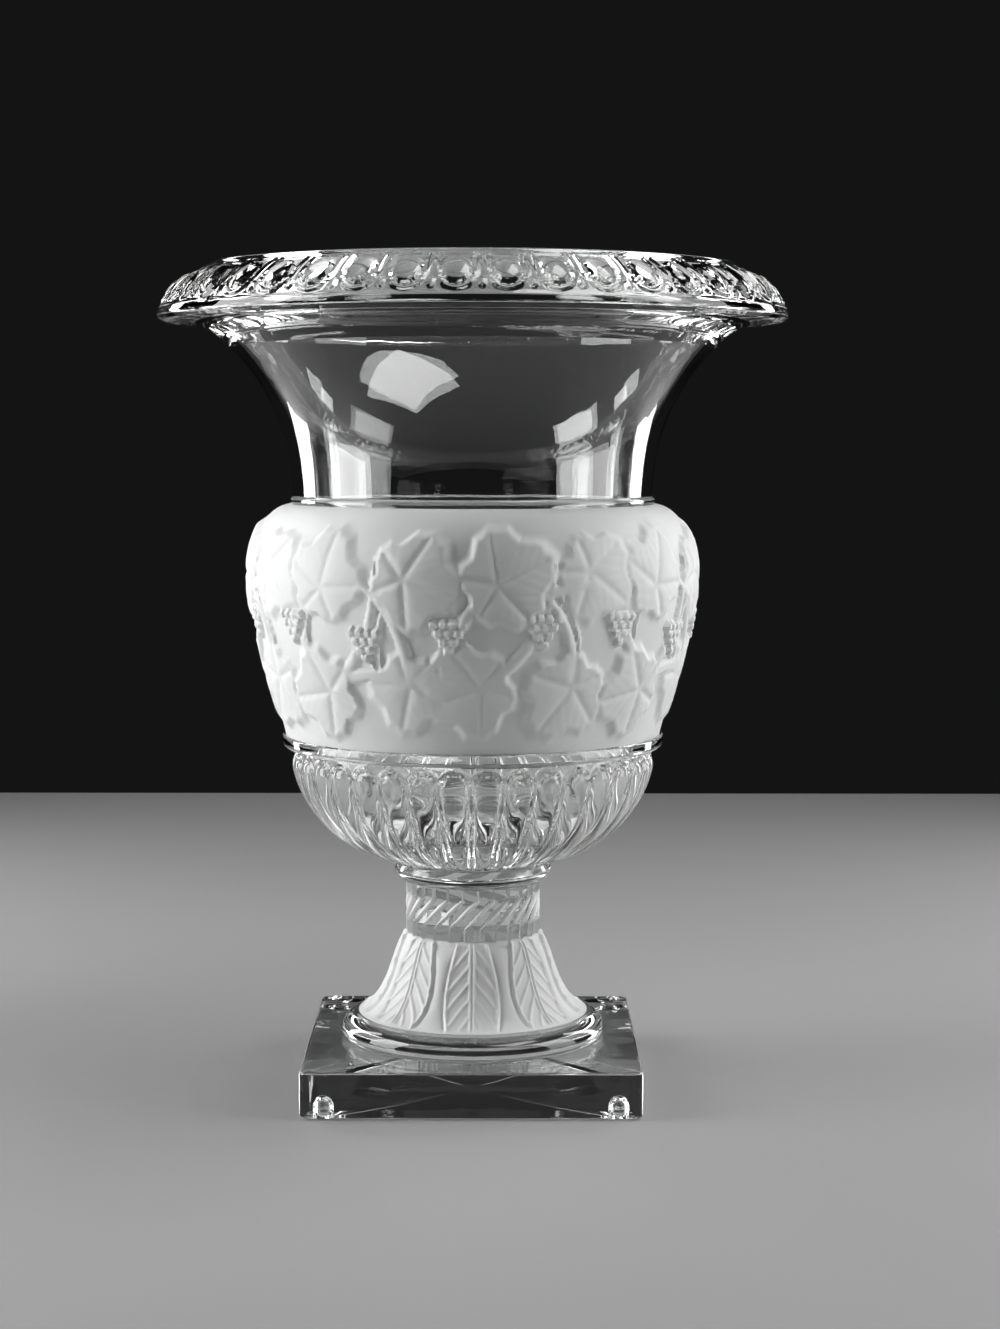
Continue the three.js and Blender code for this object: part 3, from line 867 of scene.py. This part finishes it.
def vine_frieze():
    """Two Bezier curves, out to the belly and in to the neck, turned about Z with the vine on them."""
    rise = BELLY_LEVEL - FRIEZE_BASE
    fall = NECK_BASE - BELLY_LEVEL
    line = np.concatenate([
        bend((FRIEZE_FOOT_RADIUS, FRIEZE_BASE), (FRIEZE_FOOT_RADIUS + 4, FRIEZE_BASE + rise * 0.3),
             (FRIEZE_BELLY_RADIUS, BELLY_LEVEL - rise * 0.35), (FRIEZE_BELLY_RADIUS, BELLY_LEVEL), 80)[:-1],
        bend((FRIEZE_BELLY_RADIUS, BELLY_LEVEL), (FRIEZE_BELLY_RADIUS, BELLY_LEVEL + fall * 0.62),
             (FRIEZE_TOP_RADIUS + 7, NECK_BASE - 0.6), (FRIEZE_TOP_RADIUS, NECK_BASE), 60),
    ])
    outside = evenly(line, 0.74)
    shell = ring_section(outside, RELIEF_COLUMNS, RELIEF_COLUMNS // HOLLOW_SHARE, FROSTED_SLOT,
                         (FRIEZE_FOOT_RADIUS, NECK_SEAT_RADIUS), vine_relief(outside, RELIEF_COLUMNS))
    return piece("vine_frieze_glass", shell, SKINS, "frosted_glass", "vine_frieze")


def neck():
    """A bead with eased edges and a Bezier curve that flares from it, turned about Z."""
    waist = NECK_BASE + NECK_BEAD_HEIGHT
    flare = bend((NECK_WAIST_RADIUS, waist), (NECK_WAIST_RADIUS + 1.2, waist + NECK_HEIGHT * 0.5),
                 (NECK_TOP_RADIUS - 10.4, RIM_BASE - 10), (NECK_TOP_RADIUS, RIM_BASE), 60)
    bead = rounded(points((NECK_SEAT_RADIUS, NECK_BASE), (NECK_BEAD_RADIUS, NECK_BASE + 1),
                          (NECK_BEAD_RADIUS - 0.2, waist - 0.6), flare[0]), 0.8)
    outside = np.concatenate([bead[:-1], flare])
    shell = ring_section(outside, 256, 256, CLEAR_SLOT, (NECK_SEAT_RADIUS, NECK_TOP_RADIUS))
    return piece("neck_glass", shell, SKINS, "clear_glass", "neck")


def egg_rim():
    """A rim turned over: a curve under it, a round edge, a slope with the eggs and a level land, turned
    about Z and closed by the hollow's lip."""
    edge = RIM_BASE + RIM_EDGE_HEIGHT
    lip = RIM_RADIUS - 1.8
    under = bend((NECK_TOP_RADIUS, RIM_BASE), (NECK_TOP_RADIUS + 4.5, RIM_BASE + 5.5),
                 (lip - 5, edge - 2), (lip, edge - 1.8), 14)
    slope = evenly(bend((RIM_RADIUS - 0.5, edge + 1.8), (RIM_RADIUS - 1, edge + 6),
                        (RIM_TOP_RADIUS + 9, RIM_TOP - 4), (RIM_TOP_RADIUS + 1.8, RIM_TOP - 1.4), 80), 0.42)
    turn = rounded(points(under[-1], (RIM_RADIUS, edge - 0.4), slope[0]), 1.2, 5)[1:-1]
    land = rounded(points(slope[-1], (RIM_TOP_RADIUS + 0.6, RIM_TOP), (HOLLOW_MOUTH_RADIUS, RIM_TOP)), 0.7)
    line = np.concatenate([under, turn, slope, land[1:]])
    first = len(under) + len(turn)
    columns = EGG_COUNT * REPEAT_COLUMNS
    relief = egg_relief(line, columns, first, first + len(slope) - 1)
    shell = Shell()
    outer = shell.band(ring_points(line, columns, relief), CLEAR_SLOT)
    inside = ring_points(hollow_part(RIM_BASE, RIM_TOP)[1:], columns // HOLLOW_SHARE)
    inner = shell.band(inside, CLEAR_SLOT)
    shell.stitch(outer[-1], inner[0], CLEAR_SLOT)
    shell.stitch(inner[-1], outer[0], SEAM_SLOT)
    return piece("egg_rim_glass", shell, SKINS, "clear_glass", "egg_rim")


def foot_ring():
    """A round foot: a Bezier curve that swells and draws in, and a thin step, turned about Z."""
    shoulder = BELL_BASE - FOOT_STEP_HEIGHT
    curve = bend((FOOT_SEAT_RADIUS, FOOT_BASE), (FOOT_RADIUS + 1, FOOT_BASE + 1.4),
                 (FOOT_RADIUS + 0.6, shoulder - 2), (FOOT_STEP_RADIUS + 1.2, shoulder), 40)
    step = points((FOOT_STEP_RADIUS, shoulder), (FOOT_STEP_RADIUS, BELL_BASE))
    shell = solid_section(np.concatenate([curve, step]), 240, CLEAR_SLOT,
                          (FOOT_BOND_RADIUS, BELL_BASE_RADIUS))
    return piece("foot_ring_glass", shell, SKINS, "clear_glass", "foot_ring")


def leaf_bell():
    """A bell: a hollow Bezier curve turned about Z with the leaves on it."""
    height = STEM_BASE - BELL_BASE
    line = bend((BELL_BASE_RADIUS, BELL_BASE), (BELL_BASE_RADIUS * 0.71, BELL_BASE + height * 0.14),
                (BELL_TOP_RADIUS + 5.2, STEM_BASE - height * 0.07), (BELL_TOP_RADIUS, STEM_BASE), 120)
    outside = evenly(line, 0.5)
    shell = solid_section(outside, RELIEF_COLUMNS, FROSTED_SLOT, (BELL_BASE_RADIUS, STEM_RADIUS),
                          bell_relief(outside, RELIEF_COLUMNS))
    return piece("leaf_bell_glass", shell, SKINS, "frosted_glass", "leaf_bell")


def rope_stem():
    """A cylinder with the strands on it. Its rows turn about Z by their height over the strands' foot,
    divided by the radius, so the strands lean by 45 degrees. The strands are frosted."""
    outside = evenly(points((STEM_RADIUS, STEM_BASE), (STEM_RADIUS, COLLAR_BASE)), 0.36)
    columns = ROPE_STRANDS * REPEAT_COLUMNS
    relief = rope_relief(outside, columns)
    twist = np.clip(outside[:, 1] - ROPE_BASE, 0, ROPE_HEIGHT) / STEM_RADIUS
    slots = np.where(relief[:-1] + relief[1:] > 2 * ROPE_EDGE, FROSTED_SLOT, CLEAR_SLOT)
    shell = solid_section(outside, columns, slots, (STEM_RADIUS, STEM_RADIUS), relief, twist)
    return piece("rope_stem_glass", shell, STEM_SKINS, "clear_glass", "rope_stem")


def collar():
    """A round collar: a Bezier curve out to its middle and a slope in to its seat, turned about Z."""
    middle = COLLAR_BASE + (COLLAR_TOP - COLLAR_BASE) * COLLAR_MIDDLE_SHARE
    curve = bend((STEM_RADIUS + 0.4, COLLAR_BASE + 0.5), (COLLAR_RADIUS - 1, COLLAR_BASE + 0.6),
                 (COLLAR_RADIUS, middle - 2.4), (COLLAR_RADIUS, middle), 24)
    line = np.concatenate([
        points((STEM_RADIUS, COLLAR_BASE)),
        curve,
        points((COLLAR_SEAT_RADIUS + 2.2, COLLAR_TOP - 0.5), (COLLAR_SEAT_RADIUS, COLLAR_TOP)),
    ])
    shell = solid_section(line, 192, CLEAR_SLOT, (STEM_RADIUS, STEM_BOND_RADIUS))
    return piece("collar_glass", shell, SKINS, "clear_glass", "collar")


PLINTH_HALF = width_of("plinth")
PLINTH_CORNER = 3.2
PLINTH_BEVEL = 0.9
PLINTH_COLUMNS = 720


def square_ring(half, corner, level, columns):
    """A level ring of points on a square with round corners: each point of a circle is pushed out along
    its ray to the square's side or to the corner's arc."""
    angle = np.arange(columns) * (2 * math.pi / columns)
    way = np.stack([np.cos(angle), np.sin(angle)], 1)
    side = half / np.abs(way).max(1)
    centre = half - corner
    along = np.abs(way) @ np.array([centre, centre])
    root = np.maximum(along**2 - (2 * centre**2 - corner**2), 0)
    arc = along + np.sqrt(root)
    in_corner = (np.abs(way) * side[:, None] > centre).all(1)
    reach = np.where(in_corner, arc, side)
    return np.concatenate([way * reach[:, None], np.full((columns, 1), level)], 1)


PAD_RADIUS = 3.2
PAD_HEIGHT = 7.0
PAD_EDGE = 0.3
PAD_COLUMNS = 48
PAD_INSET = 8.0
PAD_CLEARANCE = 0.3
SOCKET_START = -1.0
PAD_PLACE = PLINTH_HALF - PAD_INSET
PAD_PLACES = {
    "pad_front_left": (-PAD_PLACE, -PAD_PLACE, 0),
    "pad_front_right": (PAD_PLACE, -PAD_PLACE, 0),
    "pad_rear_left": (-PAD_PLACE, PAD_PLACE, 0),
    "pad_rear_right": (PAD_PLACE, PAD_PLACE, 0),
}


def bullet(name, place, radius, low, high):
    """A short upright cylinder with an eased foot and half a sphere on top, as a mesh."""
    turns = np.linspace(0, math.pi / 2, 9)[:-1]
    crown = np.stack([radius * np.cos(turns), high - radius + radius * np.sin(turns)], 1)
    line = np.concatenate([points((radius - PAD_EDGE, low), (radius, low + PAD_EDGE)), crown])
    shell = Shell()
    rows = shell.band(ring_points(line, PAD_COLUMNS), CLEAR_SLOT)
    shell.pole(rows[-1], high, CLEAR_SLOT, True)
    shell.pole(rows[0], low, CLEAR_SLOT, False)
    return shell.mesh(name, place)


def with_sockets(mesh):
    """Takes the pads' sockets out of the plinth's underside."""
    block = bpy.data.objects.new("block", mesh)
    bpy.context.scene.collection.objects.link(block)
    cutters = []
    for name, place in PAD_PLACES.items():
        hole = bullet("socket_" + name, place, PAD_RADIUS + PAD_CLEARANCE, SOCKET_START,
                      PAD_HEIGHT + PAD_CLEARANCE)
        cutter = bpy.data.objects.new("socket", hole)
        bpy.context.scene.collection.objects.link(cutter)
        cutters.append(cutter)
        step = block.modifiers.new("socket", "BOOLEAN")
        step.operation = "DIFFERENCE"
        step.solver = "EXACT"
        step.object = cutter
    graph = bpy.context.evaluated_depsgraph_get()
    graph.update()
    carved = bpy.data.meshes.new_from_object(block.evaluated_get(graph))
    for made in [block, *cutters]:
        bpy.data.objects.remove(made)
    return carved


def plinth():
    """A square slab of rings with round corners, whose lower and upper edges are quarters of a circle:
    the inset is the bevel times 1 less the sine, or 1 less the cosine, of a turn up to 90 degrees."""
    turns = np.linspace(0, math.pi / 2, 5)
    drawn_in = PLINTH_BEVEL * (1 - np.sin(turns))
    turned_up = PLINTH_BEVEL * (1 - np.cos(turns))
    insets = np.concatenate([drawn_in, turned_up])
    levels = np.concatenate([PLINTH_BASE + turned_up, PLINTH_TOP - drawn_in])
    rows = [square_ring(PLINTH_HALF - inset, PLINTH_CORNER - inset, level, PLINTH_COLUMNS)
            for inset, level in zip(insets, levels)]
    shell = Shell()
    outer = shell.band(np.stack(rows), CLEAR_SLOT)
    edge = shell.circle(FOOT_BOND_RADIUS, PLINTH_TOP, PLINTH_COLUMNS, CLEAR_SLOT)
    shell.stitch(outer[-1], edge, CLEAR_SLOT)
    shell.pole(edge, PLINTH_TOP, SEAM_SLOT, True)
    shell.pole(outer[0], PLINTH_BASE, CLEAR_SLOT, False)
    carved = with_sockets(shell.mesh("plinth"))
    return piece("plinth_glass", carved, SKINS, "clear_glass", "plinth")


def pads():
    """The four pads, each in its socket."""
    for name, place in PAD_PLACES.items():
        piece(name + "_dome", bullet(name, place, PAD_RADIUS, 0.0, PAD_HEIGHT), (PAD,), "clear_pad", name)


fluted_bowl()
bowl_ring()
vine_frieze()
neck()
egg_rim()
foot_ring()
leaf_bell()
rope_stem()
collar()
plinth()
pads()


def dress_node(name, material):
    """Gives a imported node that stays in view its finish."""
    made = bpy.data.objects[name]
    made.data.materials.clear()
    made.data.materials.append(material)


for bond in ("foot_bond", "stem_bond"):
    dress_node(bond, BOND)


# Floor, lights and camera. Places and sizes are in millimetres.

FLOOR_HALF = 700.0
FLOOR_TINT = (0.34, 0.34, 0.34, 1)
ROOM_TINT = (0.007, 0.007, 0.007, 1)
LAMP_AIM = (0.0, 0.0, 150.0)
# Each lamp: name, place, width and height, watts
LAMPS = (
    ("softbox_left", (-750, -100, 300), (420, 900), 8.4),
    ("softbox_right", (750, -100, 300), (420, 900), 4.6),
    ("softbox_top", (300, -100, 880), (420, 380), 3.4),
    ("strip_left", (-560, 420, 260), (120, 800), 2.2),
    ("strip_right", (560, 420, 260), (120, 800), 2.2),
)


def floor():
    """A level square under the vase."""
    mesh = bpy.data.meshes.new("floor")
    corners = [(-1, -1), (1, -1), (1, 1), (-1, 1)]
    mesh.from_pydata([(x * FLOOR_HALF * MM, y * FLOOR_HALF * MM, 0) for x, y in corners], [], [(0, 1, 2, 3)])
    made = bpy.data.objects.new("floor", mesh)
    bpy.context.scene.collection.objects.link(made)
    mesh.materials.append(surface("floor_grey", {"Base Color": FLOOR_TINT, "Roughness": 0.6})[0])


def softbox(name, place, size, watts):
    """A rectangular lamp, turned towards the lamps' aim: a lamp looks down at rest, so it is tilted by
    the angle between straight down and its way, then turned about Z to that way's side."""
    light = bpy.data.lights.new(name, "AREA")
    light.shape = "RECTANGLE"
    light.size = size[0] * MM
    light.size_y = size[1] * MM
    light.energy = watts
    made = bpy.data.objects.new(name, light)
    made.location = [value * MM for value in place]
    way = np.array(LAMP_AIM) - np.array(place)
    way = way / np.linalg.norm(way)
    turn = math.atan2(-way[0], way[1])
    tilt = math.acos(np.clip(-way[2], -1, 1))
    made.rotation_euler = (tilt, 0, turn)
    bpy.context.scene.collection.objects.link(made)


def camera():
    """The fitted camera. Its focal length in pixels, over the frame's longer side, times the sensor."""
    data = bpy.data.cameras.new("camera")
    data.sensor_width = SENSOR
    data.sensor_fit = "AUTO"
    data.lens = FOCAL_PIXELS / FRAME_HEIGHT * SENSOR
    data.clip_end = CAMERA_REACH_METRES
    made = bpy.data.objects.new("camera", data)
    made.location = [value * MM for value in CAMERA_PLACE]
    made.rotation_euler = (math.radians(90 - CAMERA_PITCH), math.radians(CAMERA_ROLL), 0)
    bpy.context.scene.collection.objects.link(made)
    bpy.context.scene.camera = made


def world():
    """A dim room, so that the lamps alone draw the glass."""
    made = bpy.data.worlds.new("studio")
    made.use_nodes = True
    made.node_tree.nodes["Background"].inputs["Color"].default_value = ROOM_TINT
    bpy.context.scene.world = made


floor()
for lamp in LAMPS:
    softbox(*lamp)
camera()
world()

# Light passes many walls of glass before it leaves the vase
GLASS_BOUNCES = 24
SEAM_BOUNCES = 32

scene = bpy.context.scene
scene.view_settings.view_transform = "Standard"
scene.cycles.max_bounces = GLASS_BOUNCES
scene.cycles.transmission_bounces = GLASS_BOUNCES
scene.cycles.transparent_max_bounces = SEAM_BOUNCES

bpy.context.view_layer.update()
